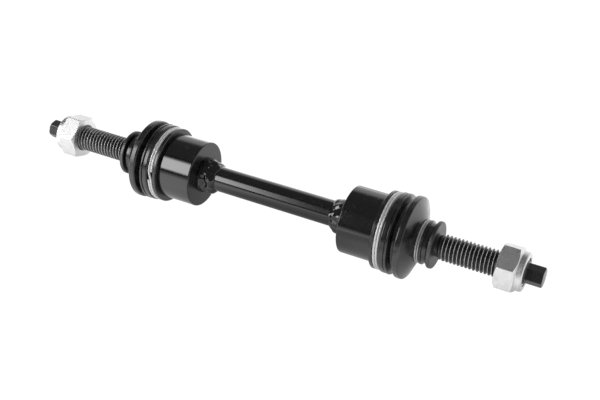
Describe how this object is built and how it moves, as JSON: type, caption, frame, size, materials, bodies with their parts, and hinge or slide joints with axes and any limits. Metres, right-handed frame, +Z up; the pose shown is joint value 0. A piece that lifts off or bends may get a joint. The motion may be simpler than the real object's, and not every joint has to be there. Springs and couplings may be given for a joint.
{
  "type": "anti-roll bar drop link",
  "caption": "Straight anti-roll bar drop link: black rod with an in-line ball joint at each end, ribbed rubber boots held by wire rings, threaded studs and lock nuts.",
  "frame": {"origin": "middle of the rod, which is the middle of the whole link", "axes": "+X along the rod and both studs towards the right joint, +Z up"},
  "size_m": [0.258, 0.0382, 0.0382],
  "materials": {
    "e_coated_bar": "gloss black dip coat",
    "e_coated_weld": "gloss black dip coat over a rippled weld",
    "e_coated_housing": "gloss black dip coat over turned steel",
    "retainer_steel": "turned",
    "seat_plastic": "moulded acetal",
    "stud_steel": "phosphated, with bare crests",
    "boot_rubber": "moulded, satin",
    "ring_wire": "bright drawn wire",
    "nut_zinc": "zinc plated",
    "insert_nylon": "natural nylon"
  },
  "bodies": {
    "link_body": {"rod": "e_coated_bar", "left_weld_bead": "e_coated_weld", "left_housing": "e_coated_housing", "left_seat_retainer": "retainer_steel", "left_boot": "boot_rubber", "left_boot_clamp_ring": "ring_wire", "right_weld_bead": "e_coated_weld", "right_housing": "e_coated_housing", "right_seat_retainer": "retainer_steel", "right_boot": "boot_rubber", "right_boot_clamp_ring": "ring_wire"},
    "left_ball_seat": {"left_ball_seat": "seat_plastic"},
    "left_boot_neck": {"left_neck_ring": "ring_wire"},
    "left_stud": {"left_ball_stud": "stud_steel"},
    "left_nut_insert": {"left_nut_insert": "insert_nylon"},
    "left_lock_nut": {"left_lock_nut": "nut_zinc"},
    "right_ball_seat": {"right_ball_seat": "seat_plastic"},
    "right_boot_neck": {"right_neck_ring": "ring_wire"},
    "right_stud": {"right_ball_stud": "stud_steel"},
    "right_nut_insert": {"right_nut_insert": "insert_nylon"},
    "right_lock_nut": {"right_lock_nut": "nut_zinc"}
  },
  "joints": [
    {"name": "left_swing_direction", "type": "hinge", "parent": "link_body", "child": "left_ball_seat", "pos_m": [-0.0524, 0, 0], "axis": [-1, 0, 0], "continuous": true},
    {"name": "left_swing", "type": "hinge", "parent": "left_ball_seat", "child": "left_boot_neck", "pos_m": [-0.0524, 0, 0], "axis": [0, 1, 0], "range_deg": [-20, 20], "deforming": ["left_boot"]},
    {"name": "left_stud_spin", "type": "hinge", "parent": "left_boot_neck", "child": "left_stud", "pos_m": [-0.0524, 0, 0], "axis": [-1, 0, 0], "continuous": true},
    {"name": "left_nut_travel", "type": "slide", "parent": "left_stud", "child": "left_nut_insert", "axis": [-1, 0, 0], "range_m": [-0.0281, 0.0207]},
    {"name": "left_nut_turn", "type": "hinge", "parent": "left_nut_insert", "child": "left_lock_nut", "pos_m": [-0.1153, 0, 0], "axis": [-1, 0, 0], "range_deg": [-5760, 4238]},
    {"name": "right_swing_direction", "type": "hinge", "parent": "link_body", "child": "right_ball_seat", "pos_m": [0.0524, 0, 0], "axis": [1, 0, 0], "continuous": true},
    {"name": "right_swing", "type": "hinge", "parent": "right_ball_seat", "child": "right_boot_neck", "pos_m": [0.0524, 0, 0], "axis": [0, 1, 0], "range_deg": [-20, 20], "deforming": ["right_boot"]},
    {"name": "right_stud_spin", "type": "hinge", "parent": "right_boot_neck", "child": "right_stud", "pos_m": [0.0524, 0, 0], "axis": [1, 0, 0], "continuous": true},
    {"name": "right_nut_travel", "type": "slide", "parent": "right_stud", "child": "right_nut_insert", "axis": [1, 0, 0], "range_m": [-0.0281, 0.0207]},
    {"name": "right_nut_turn", "type": "hinge", "parent": "right_nut_insert", "child": "right_lock_nut", "pos_m": [0.1153, 0, 0], "axis": [1, 0, 0], "range_deg": [-5760, 4238]}
  ],
  "couplings": [
    {"joint": "left_nut_travel", "follows": "left_nut_turn", "m_per_rad": 0.00027852},
    {"joint": "right_nut_travel", "follows": "right_nut_turn", "m_per_rad": 0.00027852}
  ]
}
